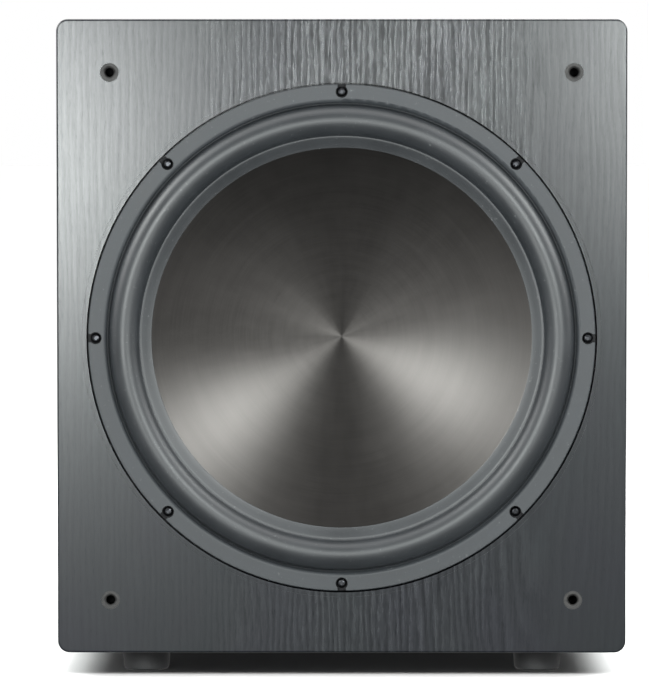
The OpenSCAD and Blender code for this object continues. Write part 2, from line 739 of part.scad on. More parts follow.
// The rocker is a shallow V that tips about a pivot across the housing; its foot is pressed in
module power_rocker() color("black") on_back(rocker_u, power_v)
    translate([0, 0, -rocker_pivot_b]) rotate([rocker_tip, 0, 0]) rotate([0, 90, 0]) {
        cylinder(r = rocker_axle_r, h = 17.4, center = true);
        linear_extrude(14.8, center = true)
            polygon([[5, -8], [5, 8], [-5, 10.4], [-8.8, 10.4], [-6.2, 0], [-8.8, -10.4], [-5, -10.4]]);
    }

// A fluted knob and the D-shaped shaft that it sits on
module knob_and_shaft(x) on_back(x, knob_v) {
    color("black") difference() {
        union() {
            translate([0, 0, 1.2]) cylinder(r = 11.6, h = 1.6);
            difference() {
                turned([[0, 1.6], [9.8, 1.6], [9.8, knob_h - 1], [8.8, knob_h], [0, knob_h]]);
                around(18, 10) translate([10.6, 0, 2]) cylinder(r = 1.4, h = 20);
            }
        }
        translate([0, 0, -over]) cylinder(r = 7, h = 5.6 + over);
        translate([0, 0, 2]) cylinder(r = 3.05, h = 12);
        // pointer line, up at rest
        translate([-0.6, 3, knob_h - 0.7]) cube([1.2, 12, 5]);
    }
    color("silver") difference() {
        translate([0, 0, -control_board_b + 1]) cylinder(r = 3, h = control_board_b + 12.9);
        translate([1.6, -5, 6]) cube([5, 10, 20]);
    }
}

module gain_knob() knob_and_shaft(knob_u[0]);
module crossover_knob() knob_and_shaft(knob_u[1]);
module phase_knob() knob_and_shaft(knob_u[2]);

// A bat-shaped lever on a ball in the toggle's bushing, with a pin through both
module toggle_lever(x, tip) color("silver") on_back(x, toggle_v)
    translate([0, 0, toggle_pivot]) rotate([tip, 0, 0]) {
        sphere(2.35);
        rotate([0, 90, 0]) cylinder(r = toggle_pin_r, h = 5.9, center = true);
        cylinder(r1 = 1.1, r2 = 1.7, h = 10.4);
        translate([0, 0, 10.4]) sphere(1.7);
    }

module mode_toggle() toggle_lever(toggle_u[0], 0);
module filter_toggle() toggle_lever(toggle_u[1], toggle_tip);

// ---- Which node to draw ----

front_baffle();
inner_baffle();
top_panel();
bottom_panel();
left_panel();
right_panel();
back_panel();
window_brace();
damping_lining();
grille_sockets();
rubber_feet();
foot_screws();
driver_frame();
frame_gasket();
trim_ring();
driver_screws();
tee_nuts();
surround();
spider();
cone();
coil_former();
voice_coil();
top_plate();
magnets();
pole_yoke();
shorting_ring();
motor_bolts();
terminal_bushes();
terminal_posts();
tinsel_leads();
speaker_wires();
amp_plate();
amp_gasket();
amp_screws();
amp_can();
main_board();
transformer();
capacitors();
heat_sink();
output_chokes();
board_standoffs();
control_board();
potentiometers();
toggle_bodies();
panel_nuts();
rca_shells();
rca_inserts();
mains_inlet();
inlet_pins();
inlet_screws();
fuse_drawer();
fuse();
rocker_housing();
power_rocker();
status_light();
gain_knob();
crossover_knob();
phase_knob();
mode_toggle();
filter_toggle();
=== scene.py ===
import json
import math

import bmesh
import bpy
import numpy as np
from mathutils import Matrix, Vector


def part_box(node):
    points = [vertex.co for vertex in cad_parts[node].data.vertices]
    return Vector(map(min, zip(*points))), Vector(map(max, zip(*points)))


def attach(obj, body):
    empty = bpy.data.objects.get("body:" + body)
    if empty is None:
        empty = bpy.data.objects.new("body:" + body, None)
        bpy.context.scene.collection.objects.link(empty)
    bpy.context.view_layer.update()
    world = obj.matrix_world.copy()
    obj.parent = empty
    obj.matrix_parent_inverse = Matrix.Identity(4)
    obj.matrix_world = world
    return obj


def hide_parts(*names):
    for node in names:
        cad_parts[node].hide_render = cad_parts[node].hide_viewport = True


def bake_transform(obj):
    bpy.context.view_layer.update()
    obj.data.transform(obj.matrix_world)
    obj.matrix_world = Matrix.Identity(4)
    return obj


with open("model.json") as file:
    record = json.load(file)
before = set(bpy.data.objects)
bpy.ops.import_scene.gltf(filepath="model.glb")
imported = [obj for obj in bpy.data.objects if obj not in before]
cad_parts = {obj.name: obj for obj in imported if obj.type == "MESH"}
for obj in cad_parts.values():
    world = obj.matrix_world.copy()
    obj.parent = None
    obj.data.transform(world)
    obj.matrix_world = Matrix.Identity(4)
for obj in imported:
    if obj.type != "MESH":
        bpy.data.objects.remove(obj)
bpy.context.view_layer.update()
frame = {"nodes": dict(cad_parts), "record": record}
nodes = frame["nodes"]
scene = bpy.context.scene

MM = 0.001
ORIGIN = Vector((0, 0, 0))

# Places taken from the frame, in metres
face_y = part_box("front_baffle")[0].y
back_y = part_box("back_panel")[1].y
ring_low, ring_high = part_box("trim_ring")
axis_x = (ring_low.x + ring_high.x) / 2
axis_z = (ring_low.z + ring_high.z) / 2
cabinet_low, cabinet_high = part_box("front_baffle")
cabinet_mid_z = (cabinet_low.z + cabinet_high.z) / 2


def middle(node):
    low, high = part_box(node)
    return (low + high) / 2


# ---- Material kit ----

class Shader:
    """One procedural material on a Principled shader. Object coordinates are the row frame, in metres."""

    def __init__(self, name, metallic=0.0):
        self.material = bpy.data.materials.new(name)
        self.material.use_nodes = True
        self.tree = self.material.node_tree
        self.tree.nodes.clear()
        out = self.tree.nodes.new("ShaderNodeOutputMaterial")
        self.bsdf = self.tree.nodes.new("ShaderNodeBsdfPrincipled")
        self.tree.links.new(self.bsdf.outputs[0], out.inputs["Surface"])
        self.place = self.add("TexCoord").outputs["Object"]
        self.set(Metallic=metallic)

    def put(self, node, key, value):
        socket = node.inputs[key]
        if isinstance(value, bpy.types.NodeSocket):
            self.tree.links.new(value, socket)
        elif socket.type == "RGBA" and len(value) == 3:
            socket.default_value = (*value, 1.0)
        else:
            socket.default_value = value

    def add(self, kind, inputs=None, **settings):
        node = self.tree.nodes.new("ShaderNode" + kind)
        for key, value in settings.items():
            setattr(node, key, value)
        for key, value in (inputs or {}).items():
            self.put(node, key, value)
        return node

    def set(self, **values):
        for key, value in values.items():
            self.put(self.bsdf, key.replace("_", " "), value)
        return self.material

    def vector(self, operation, a, b=ORIGIN):
        return self.add("VectorMath", {0: a, 1: b}, operation=operation).outputs

    def math(self, operation, a, b=0.0, clamp=False):
        return self.add("Math", {0: a, 1: b}, operation=operation, use_clamp=clamp).outputs[0]

    def split(self, vector):
        return self.add("SeparateXYZ", {0: vector}).outputs

    def join(self, x, y, z):
        return self.add("CombineXYZ", {0: x, 1: y, 2: z}).outputs[0]

    def noise(self, stretch, detail=3.0, roughness=0.55, where=None):
        """Noise whose features measure about stretch = (x, y, z) metres."""
        scale = [1 / s for s in stretch]
        place = self.vector("MULTIPLY", where or self.place, scale)[0]
        inputs = {"Vector": place, "Scale": 1.0, "Detail": detail, "Roughness": roughness}
        return self.add("TexNoise", inputs).outputs[0]

    def cells(self, size, feature="F1", where=None):
        place = where or self.place
        return self.add("TexVoronoi", {"Vector": place, "Scale": 1 / size}, feature=feature).outputs

    def remap(self, value, low, high, to_low=0.0, to_high=1.0):
        inputs = {"Value": value, "From Min": low, "From Max": high, "To Min": to_low, "To Max": to_high}
        return self.add("MapRange", inputs).outputs[0]

    def ramp(self, factor, *stops):
        """Colours or grey levels at places from 0 to 1."""
        node = self.add("ValToRGB", {0: factor})
        points = node.color_ramp.elements
        while len(points) < len(stops):
            points.new(0.5)
        for point, (place, colour) in zip(points, stops):
            point.position = place
            point.color = (*colour, 1.0) if isinstance(colour, tuple) else (colour, colour, colour, 1.0)
        return node.outputs[0]

    def mix(self, factor, a, b, kind="MIX"):
        node = self.add("Mix", data_type="RGBA", blend_type=kind)
        for index, value in ((0, factor), (6, a), (7, b)):
            self.put(node, index, value)
        return node.outputs[2]

    def bump(self, height, distance, under=None):
        inputs = {"Height": height, "Distance": distance}
        if under is not None:
            inputs["Normal"] = under
        return self.add("Bump", inputs).outputs[0]

    def edges(self, radius):
        """0 on flat places, up to 1 where an edge has a smaller radius than this."""
        soft = self.add("Bevel", {"Radius": radius}, samples=4).outputs[0]
        straight = self.add("NewGeometry").outputs["Normal"]
        along = self.vector("DOT_PRODUCT", soft, straight)["Value"]
        return self.remap(along, 0.985, 0.8)

    def polar(self, centre):
        """Distance from an axis along Y through centre, and the unit direction out from it."""
        flat = self.vector("MULTIPLY", self.vector("SUBTRACT", self.place, centre)[0], (1, 0, 1))[0]
        out = self.vector("NORMALIZE", flat)[0]
        return self.vector("LENGTH", flat)["Value"], out


def tint(colour, factor):
    return tuple(min(1.0, c * factor) for c in colour)


def moulded(name, colour, rough=0.45, grain=0.5, grain_depth=0.03, spread=0.35, wear=0.25, shine=0.5):
    """Moulded plastic or rubber: a fine grain in mm, cloudy colour and rubbed edges."""
    s = Shader(name)
    cloud = s.noise((0.03, 0.03, 0.03), detail=5)
    fine = s.noise([grain * MM] * 3, detail=2)
    shade = s.ramp(cloud, (0.3, tint(colour, 1 - spread)), (0.7, tint(colour, 1 + spread)))
    rubbed = s.math("MULTIPLY", s.edges(1.2 * MM), s.math("MULTIPLY", cloud, 2 * wear))
    worn = s.mix(rubbed, shade, tuple(0.12 + 0.6 * c for c in colour))
    roughness = s.remap(s.math("ADD", fine, cloud), 0.7, 1.3, rough - 0.06, rough + 0.08)
    return s.set(Base_Color=worn, Roughness=roughness, Specular_IOR_Level=shine,
                 Normal=s.bump(fine, grain_depth * MM))


def metal(name, colour, rough=0.3, stretch=(4, 4, 4), depth=0.01, spread=0.15, dull=0.5, metallic=1.0):
    """Metal with faint scratches whose features measure stretch mm, dull patches and bright edges."""
    s = Shader(name, metallic)
    cloud = s.noise((0.02, 0.02, 0.02), detail=6, roughness=0.65)
    lines = s.noise([max(v, 0.05) * MM for v in stretch], detail=4, roughness=0.7)
    shade = s.ramp(cloud, (0.3, tint(colour, 1 - spread)), (0.7, tint(colour, 1 + spread)))
    bright = s.mix(s.math("MULTIPLY", s.edges(0.8 * MM), 0.5), shade, tint(colour, 1.5))
    roughness = s.remap(s.mix(dull, lines, cloud), 0.3, 0.7, rough * 0.75, rough * 1.3)
    return s.set(Base_Color=bright, Roughness=roughness, Normal=s.bump(lines, depth * MM))


# ---- Materials ----

# Stained veneer: across and along are the axes of the sheet, heart the place of its figure. The grain
# is bold within a width of the line bold, and plain beside it
def veneer(name, across, along, heart, bold, seed=0.0):
    s = Shader(name)
    axes = s.split(s.place)
    u = s.math("ADD", axes[across], seed)
    v = axes[along]
    sheet = s.join(u, s.math("ADD", v, seed), seed)
    # growth rings seen where the sheet cuts them: long ovals round the heart, warped by hand-sized noise
    drift = s.noise((0.05, 0.30, 1), detail=2, where=sheet)
    wobble = s.noise((0.012, 0.07, 1), detail=3, where=sheet)
    ragged = s.noise((0.0022, 0.009, 1), detail=3, roughness=0.7, where=sheet)
    du = s.math("SUBTRACT", axes[across], heart[0])
    dv = s.math("MULTIPLY", s.math("SUBTRACT", v, heart[1]), heart[2])
    round_heart = s.vector("LENGTH", s.join(du, dv, 0.006))["Value"]
    warp = s.math("ADD", s.math("MULTIPLY", drift, 0.018), s.math("MULTIPLY", wobble, 0.008))
    warp = s.math("ADD", warp, s.math("MULTIPLY", ragged, 0.0042))
    rings = s.math("MULTIPLY", s.math("ADD", round_heart, warp), 1 / (5.2 * MM))
    ring = s.math("FRACT", rings)
    # within a ring: dark open-pored early wood, then the smooth late wood that stands proud and shines
    late = s.ramp(ring, (0.0, 0.55), (0.10, 0.0), (0.30, 0.20), (0.55, 0.75), (0.85, 1.0), (1.0, 0.55))
    aside = s.math("ABSOLUTE", s.math("SUBTRACT", axes[across], bold[0]))
    aside = s.math("ADD", aside, s.math("MULTIPLY", s.noise((0.05, 0.2, 1), detail=1, where=sheet), 0.06))
    figure = s.remap(aside, bold[1], bold[1] + 0.10, 1.25, 0.16)
    figure = s.math("MULTIPLY", figure, s.remap(v, heart[1] - 0.42, heart[1] - 0.05, 0.6, 1.4))
    streaks = s.noise((0.0023, 0.060, 1), detail=5, roughness=0.72, where=sheet)
    fibres = s.noise((0.0009, 0.011, 1), detail=4, roughness=0.7, where=sheet)
    pores = s.noise((0.0006, 0.0080, 1), detail=2, roughness=0.5, where=sheet)
    open_pores = s.math("MULTIPLY", s.remap(pores, 0.58, 0.70), s.remap(late, 0.0, 0.9, 1.0, 0.3))
    open_pores = s.math("MULTIPLY", open_pores, s.remap(figure, 0.0, 1.0, 0.25, 1.0))
    # grain runs from -1 in the dark lines to 1 in the bright ones
    grain = s.math("MULTIPLY", s.math("SUBTRACT", late, 0.55), 1.1)
    grain = s.math("ADD", grain, s.math("MULTIPLY", s.math("SUBTRACT", streaks, 0.5), 4.2))
    grain = s.math("ADD", grain, s.math("MULTIPLY", s.math("SUBTRACT", fibres, 0.5), 2.6))
    shown = s.math("MULTIPLY", grain, figure)
    stain = s.ramp(s.remap(shown, -1.2, 1.2), (0.0, (0.0012, 0.0018, 0.0028)), (0.5, (0.0042, 0.0056, 0.0076)),
                   (1.0, (0.0140, 0.0168, 0.0195)))
    cast = s.noise((0.09, 0.16, 1), detail=2, where=s.vector("ADD", sheet, (3.1, 1.7, 0.4))[0])
    hue = s.ramp(cast, (0.36, (1.0, 0.93, 1.08)), (0.5, (1.0, 1.0, 1.0)), (0.64, (0.91, 1.04, 1.0)))
    stain = s.mix(1.0, stain, hue, "MULTIPLY")
    worn = s.math("MULTIPLY", s.edges(2.2 * MM), s.remap(streaks, 0.35, 0.65, 0.0, 0.15))
    stain = s.mix(worn, stain, (0.05, 0.054, 0.055))
    shine = s.math("ADD", s.remap(shown, -1.0, 1.0, 0.25, 0.70), s.math("MULTIPLY", open_pores, -0.22), clamp=True)
    swell = s.bump(shown, 0.012 * MM)
    return s.set(
        Base_Color=stain,
        Roughness=s.remap(s.math("ADD", shown, s.math("MULTIPLY", open_pores, -1.5)), -1.5, 1.0, 0.315, 0.262),
        Specular_IOR_Level=shine,
        Normal=s.bump(s.math("MULTIPLY", open_pores, -1.0), 0.012 * MM, swell),
    )


def bare_board():
    s = Shader("bare_board")
    fibre = s.noise((0.0012, 0.0012, 0.0012), detail=5, roughness=0.7)
    blotch = s.noise((0.05, 0.05, 0.05), detail=3)
    tone = s.math("ADD", s.math("MULTIPLY", fibre, 0.7), s.math("MULTIPLY", blotch, 0.3))
    colour = s.ramp(tone, (0.3, (0.16, 0.10, 0.055)), (0.5, (0.30, 0.20, 0.12)), (0.7, (0.42, 0.30, 0.19)))
    return s.set(Base_Color=colour, Roughness=s.remap(fibre, 0.3, 0.7, 0.7, 0.92),
                 Normal=s.bump(fibre, 0.15 * MM))


# Cups for the grille's pegs: matt black plastic, with painted shade that darkens the colour to near black down
# their bores
def socket_black():
    s = Shader("socket_black")
    depth = s.math("SUBTRACT", s.split(s.place)[1], face_y)
    # painted shade: from 0.4 to 2 mm behind the face the bore's colour is mixed to near black
    inside = s.remap(depth, 0.4 * MM, 2.0 * MM)
    skin = s.noise((0.0006, 0.0006, 0.0006), detail=3)
    cloud = s.noise((0.006, 0.006, 0.006), detail=3)
    rim = s.ramp(cloud, (0.3, (0.012, 0.012, 0.012)), (0.7, (0.024, 0.023, 0.022)))
    # the near-black colour down the bore is painted shade
    return s.set(Base_Color=s.mix(inside, rim, (0.001, 0.001, 0.001)),
                 Roughness=s.remap(skin, 0.3, 0.7, 0.55, 0.70),
                 Specular_IOR_Level=s.remap(inside, 0.0, 1.0, 0.4, 0.03), Normal=s.bump(skin, 0.03 * MM))


def wadding():
    s = Shader("wadding")
    strand = s.noise((0.0011, 0.0011, 0.0045), detail=6, roughness=0.75)
    clump = s.noise((0.018, 0.018, 0.018), detail=3)
    colour = s.ramp(s.mix(0.5, strand, clump), (0.35, (0.50, 0.49, 0.46)), (0.6, (0.86, 0.85, 0.81)))
    return s.set(Base_Color=colour, Roughness=0.95, Sheen_Weight=0.5, Sheen_Roughness=0.6,
                 Normal=s.bump(strand, 0.9 * MM))


# Rubber of the roll and the trim ring: satin, with faint marks of the mould running round the driver
def driver_rubber(name, colour, rough):
    s = Shader(name)
    distance, out = s.polar((axis_x, 0, axis_z))
    turn = s.split(out)
    marks = s.noise((1, 1, 1), detail=3, roughness=0.6, where=s.join(
        s.math("MULTIPLY", distance, 1400.0), s.math("MULTIPLY", turn[0], 3.0), s.math("MULTIPLY", turn[2], 3.0)))
    bloom = s.noise((0.035, 0.035, 0.035), detail=5, roughness=0.6)
    skin = s.noise((0.0006, 0.0006, 0.0006), detail=2)
    dust = s.noise((0.0028, 0.0028, 0.0028), detail=2, roughness=0.8)
    shade = s.ramp(s.mix(0.25, bloom, marks), (0.3, tint(colour, 0.82)), (0.7, tint(colour, 1.2)))
    shade = s.mix(s.remap(dust, 0.66, 0.78, 0.0, 0.16), shade, (0.30, 0.31, 0.31))
    return s.set(
        Base_Color=shade,
        Roughness=s.remap(s.mix(0.5, bloom, skin), 0.35, 0.65, rough - 0.04, rough + 0.05),
        Normal=s.bump(marks, 0.02 * MM, s.bump(skin, 0.02 * MM)),
    )


# The dish is turned, so its finest grooves run round it and stretch every highlight along the radius
def spun_aluminium():
    s = Shader("spun_aluminium", metallic=1.0)
    distance, out = s.polar((axis_x, 0, axis_z))
    turn = s.split(out)

    def grooves(per_metre, along, detail):
        return s.noise((1, 1, 1), detail=detail, roughness=0.65, where=s.join(
            s.math("MULTIPLY", distance, per_metre), s.math("MULTIPLY", turn[0], along),
            s.math("MULTIPLY", turn[2], along)))

    cuts = grooves(1100.0, 2.2, 3)
    bands = grooves(170.0, 1.2, 2)
    smears = grooves(25.0, 5.0, 3)
    tone = s.mix(0.35, s.mix(0.5, cuts, bands), smears)
    colour = s.ramp(tone, (0.32, (0.0350, 0.0328, 0.0314)), (0.68, (0.0445, 0.0418, 0.0400)))
    tangent = s.add("Tangent", direction_type="RADIAL", axis="Y").outputs[0]
    return s.set(
        Base_Color=colour,
        Roughness=s.remap(s.mix(0.5, cuts, smears), 0.3, 0.7, 0.31, 0.345),
        Anisotropic=0.72, Anisotropic_Rotation=0.25, Tangent=tangent,
        Normal=s.bump(cuts, 0.004 * MM, s.bump(bands, 0.006 * MM)),
    )


def spider_cloth():
    s = Shader("spider_cloth")
    axes = s.split(s.place)
    warp = s.math("SINE", s.math("MULTIPLY", axes[0], 2 * math.pi / (0.8 * MM)))
    weft = s.math("SINE", s.math("MULTIPLY", axes[2], 2 * math.pi / (0.8 * MM)))
    weave = s.math("MULTIPLY", warp, weft)
    soak = s.noise((0.02, 0.02, 0.02), detail=4)
    colour = s.ramp(s.math("ADD", s.math("MULTIPLY", weave, 0.15), soak),
                    (0.3, (0.30, 0.17, 0.05)), (0.7, (0.58, 0.38, 0.13)))
    return s.set(Base_Color=colour, Roughness=0.72, Sheen_Weight=0.25, Normal=s.bump(weave, 0.08 * MM))


def wound_wire(name, pitch, colour):
    """Enamelled wire in turns beside each other, a pitch apart along Y. Its colour carries painted highlight and
    shade: lighter on each turn's crest, darker in the groove between turns.
    """
    s = Shader(name, metallic=0.85)
    along = s.split(s.place)[1]
    turns = s.math("SINE", s.math("MULTIPLY", along, 2 * math.pi / pitch))
    blotch = s.noise((0.006, 0.006, 0.006), detail=3)
    # painted highlight and shade: the colour rises and falls with the turns, as the bump does
    shade = s.ramp(s.math("ADD", s.math("MULTIPLY", turns, 0.2), blotch),
                   (0.3, tint(colour, 0.55)), (0.75, tint(colour, 1.25)))
    return s.set(Base_Color=shade, Roughness=s.remap(blotch, 0.3, 0.7, 0.22, 0.36),
                 Coat_Weight=0.4, Normal=s.bump(turns, 0.12 * MM))


def circuit_board():
    s = Shader("circuit_board")
    cell = s.cells(5.5 * MM, where=s.vector("MULTIPLY", s.place, (1, 0.2, 1))[0])
    walls = s.cells(5.5 * MM, "DISTANCE_TO_EDGE", where=s.vector("MULTIPLY", s.place, (1, 0.2, 1))[0])[0]
    trace = s.remap(walls, 0.05, 0.09, 1.0, 0.0)
    pad = s.remap(cell[0], 0.10, 0.13, 1.0, 0.0)
    cloud = s.noise((0.02, 0.02, 0.02), detail=3)
    mask = s.ramp(cloud, (0.3, (0.012, 0.085, 0.035)), (0.7, (0.022, 0.13, 0.05)))
    colour = s.mix(trace, mask, (0.05, 0.24, 0.10))
    colour = s.mix(pad, colour, (0.62, 0.60, 0.55))
    return s.set(Base_Color=colour, Metallic=s.math("MULTIPLY", pad, 0.9),
                 Roughness=s.remap(cloud, 0.3, 0.7, 0.26, 0.4), Normal=s.bump(trace, 0.05 * MM))


def winding_tape():
    s = Shader("winding_tape")
    centre = middle("transformer")
    away = s.vector("SUBTRACT", s.place, centre)[0]
    axes = s.split(away)
    angle = s.math("ARCTAN2", axes[2], axes[0])
    laps = s.math("FRACT", s.math("MULTIPLY", angle, 22 / (2 * math.pi)))
    # painted shade and highlight: the colour is darkest in the groove where one lap meets the next, lightest on
    # the raised edge just past it, and fades across the lap; the same curve is the bump
    lap_relief_and_shade = s.ramp(laps, (0.0, 0.0), (0.06, 1.0), (1.0, 0.6))
    crease = s.noise((0.004, 0.004, 0.004), detail=4)
    colour = s.mix(lap_relief_and_shade, (0.28, 0.17, 0.03), (0.72, 0.50, 0.09))
    return s.set(Base_Color=s.mix(s.math("MULTIPLY", crease, 0.35), colour, (0.35, 0.22, 0.05)),
                 Roughness=s.remap(crease, 0.3, 0.7, 0.22, 0.42), Normal=s.bump(lap_relief_and_shade, 0.15 * MM))


def capacitor_sleeve():
    s = Shader("capacitor_sleeve")
    depth = s.split(s.place)[1]
    top = back_y - 26 * MM
    lid = s.remap(depth, top - 0.3 * MM, top, 0.0, 1.0)
    shrink = s.noise((0.004, 0.012, 0.004), detail=3)
    colour = s.ramp(shrink, (0.3, (0.008, 0.014, 0.045)), (0.7, (0.016, 0.028, 0.085)))
    return s.set(Base_Color=s.mix(lid, colour, (0.62, 0.62, 0.63)), Metallic=lid,
                 Roughness=s.remap(shrink, 0.3, 0.7, 0.24, 0.36), Normal=s.bump(shrink, 0.08 * MM))


def ferrite():
    s = Shader("ferrite")
    grit = s.noise((0.0009, 0.0009, 0.0009), detail=4, roughness=0.75)
    chips = s.cells(6 * MM)[0]
    colour = s.ramp(grit, (0.35, (0.014, 0.014, 0.016)), (0.65, (0.050, 0.050, 0.054)))
    return s.set(Base_Color=colour, Metallic=0.2, Roughness=s.remap(grit, 0.3, 0.7, 0.45, 0.7),
                 Normal=s.bump(s.mix(0.2, grit, chips), 0.12 * MM))


def former_film():
    s = Shader("former_film")
    ply = s.noise((0.003, 0.0005, 0.003), detail=3)
    colour = s.ramp(ply, (0.3, (0.34, 0.15, 0.02)), (0.7, (0.58, 0.30, 0.05)))
    return s.set(Base_Color=colour, Roughness=s.remap(ply, 0.3, 0.7, 0.2, 0.34), Coat_Weight=0.3,
                 Transmission_Weight=0.15, Normal=s.bump(ply, 0.02 * MM))


def cable_sheath():
    """The pair of wires: the right one red, the left one black."""
    s = Shader("cable_sheath")
    side = s.remap(s.split(s.place)[0], -0.5 * MM, 0.5 * MM)
    drawn = s.noise((0.0015, 0.0015, 0.0015), detail=4)
    red = s.ramp(drawn, (0.3, (0.30, 0.012, 0.010)), (0.7, (0.46, 0.028, 0.020)))
    black = s.ramp(drawn, (0.3, (0.010, 0.010, 0.011)), (0.7, (0.028, 0.028, 0.030)))
    return s.set(Base_Color=s.mix(side, black, red), Roughness=s.remap(drawn, 0.3, 0.7, 0.34, 0.5),
                 Normal=s.bump(drawn, 0.05 * MM))


def plate_black():
    """Powder-coated plate: a fine orange-peel texture, and bare bright metal where an edge is chipped."""
    s = Shader("plate_black")
    peel = s.noise((0.0011, 0.0011, 0.0011), detail=3, roughness=0.6)
    speck = s.noise((0.0004, 0.0004, 0.0004), detail=1)
    cloud = s.noise((0.06, 0.06, 0.06), detail=4)
    colour = s.ramp(s.mix(0.4, cloud, speck), (0.35, (0.014, 0.0145, 0.016)), (0.65, (0.030, 0.031, 0.033)))
    chip = s.math("MULTIPLY", s.edges(0.6 * MM), s.remap(peel, 0.56, 0.66))
    return s.set(Base_Color=s.mix(chip, colour, (0.45, 0.45, 0.46)), Metallic=s.math("MULTIPLY", chip, 0.8),
                 Roughness=s.remap(peel, 0.3, 0.7, 0.44, 0.62), Normal=s.bump(peel, 0.10 * MM))


def lens_blue():
    s = Shader("lens_blue")
    swirl = s.noise((0.0018, 0.0018, 0.0018), detail=3)
    colour = s.ramp(swirl, (0.3, (0.02, 0.16, 0.52)), (0.7, (0.05, 0.30, 0.78)))
    return s.set(Base_Color=colour, Roughness=s.remap(swirl, 0.3, 0.7, 0.08, 0.2), Coat_Weight=0.6,
                 Transmission_Weight=0.25, Emission_Color=(0.05, 0.32, 1.0), Emission_Strength=0.5,
                 Normal=s.bump(swirl, 0.02 * MM))


def knob_black(node):
    """Matt black knob on a bright shaft: the shaft is what lies within its radius of the knob's own axis."""
    s = Shader(node + "_finish")
    distance = s.polar(middle(node))[0]
    depth = s.split(s.place)[1]
    cap_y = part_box(node)[1].y - 2.7 * MM
    shaft = s.math("MULTIPLY", s.remap(distance, 3.02 * MM, 3.04 * MM, 1.0, 0.0),
                   s.remap(depth, cap_y - 0.1 * MM, cap_y, 1.0, 0.0))
    skin = s.noise((0.0005, 0.0005, 0.0005), detail=3)
    cloud = s.noise((0.012, 0.012, 0.012), detail=4)
    spun = s.math("SINE", s.math("MULTIPLY", distance, 2 * math.pi / (0.55 * MM)))
    colour = s.ramp(cloud, (0.3, (0.012, 0.012, 0.013)), (0.7, (0.026, 0.026, 0.028)))
    rubbed = s.math("MULTIPLY", s.edges(0.7 * MM), 0.45)
    colour = s.mix(rubbed, colour, (0.10, 0.10, 0.10))
    relief = s.math("ADD", skin, s.math("MULTIPLY", spun, s.remap(depth, cap_y, cap_y + 2.6 * MM, 0.0, 0.25)))
    return s.set(Base_Color=s.mix(shaft, colour, (0.55, 0.54, 0.52)), Metallic=shaft,
                 Roughness=s.remap(cloud, 0.3, 0.7, 0.36, 0.52), Normal=s.bump(relief, 0.03 * MM))


def jack_insert():
    """Insulators of the phono jacks: red and white by turns across the plate."""
    s = Shader("insert_plastic")
    across = s.split(s.place)[0]
    left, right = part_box("rca_inserts")
    pair = s.math("ABSOLUTE", s.math("SUBTRACT", across, (left.x + right.x) / 2))
    step = s.remap(pair, 53.9 * MM, 54.1 * MM)
    outer_red = s.math("GREATER_THAN", across, 54 * MM)
    inner_red = s.math("MULTIPLY", s.math("LESS_THAN", across, 0.0), s.math("SUBTRACT", 1.0, step))
    red = s.math("ADD", outer_red, inner_red, clamp=True)
    skin = s.noise((0.0012, 0.0012, 0.0012), detail=3)
    colour = s.mix(red, (0.72, 0.71, 0.68), (0.42, 0.018, 0.016))
    return s.set(Base_Color=s.mix(s.math("MULTIPLY", skin, 0.2), colour, (0.2, 0.15, 0.14)),
                 Roughness=s.remap(skin, 0.3, 0.7, 0.26, 0.4), Normal=s.bump(skin, 0.02 * MM))


def print_white():
    """Screen-printed ink: off-white, slightly starved in places."""
    s = Shader("print_white")
    thin = s.noise((0.0006, 0.0006, 0.0006), detail=3)
    colour = s.ramp(thin, (0.3, (0.42, 0.42, 0.42)), (0.55, (0.68, 0.68, 0.67)))
    return s.set(Base_Color=colour, Roughness=0.55, Normal=s.bump(thin, 0.01 * MM))


def fuse_glass():
    """A glass tube between two nickel caps."""
    s = Shader("fuse_glass")
    centre = middle("fuse")
    along = s.math("ABSOLUTE", s.math("SUBTRACT", s.split(s.place)[0], centre.x))
    cap = s.remap(along, 4.9 * MM, 5.0 * MM)
    haze = s.noise((0.003, 0.003, 0.003), detail=3)
    return s.set(Base_Color=s.mix(cap, (0.86, 0.90, 0.90), (0.66, 0.64, 0.60)), Metallic=cap,
                 Roughness=s.remap(haze, 0.3, 0.7, 0.06, 0.2), Normal=s.bump(haze, 0.01 * MM))


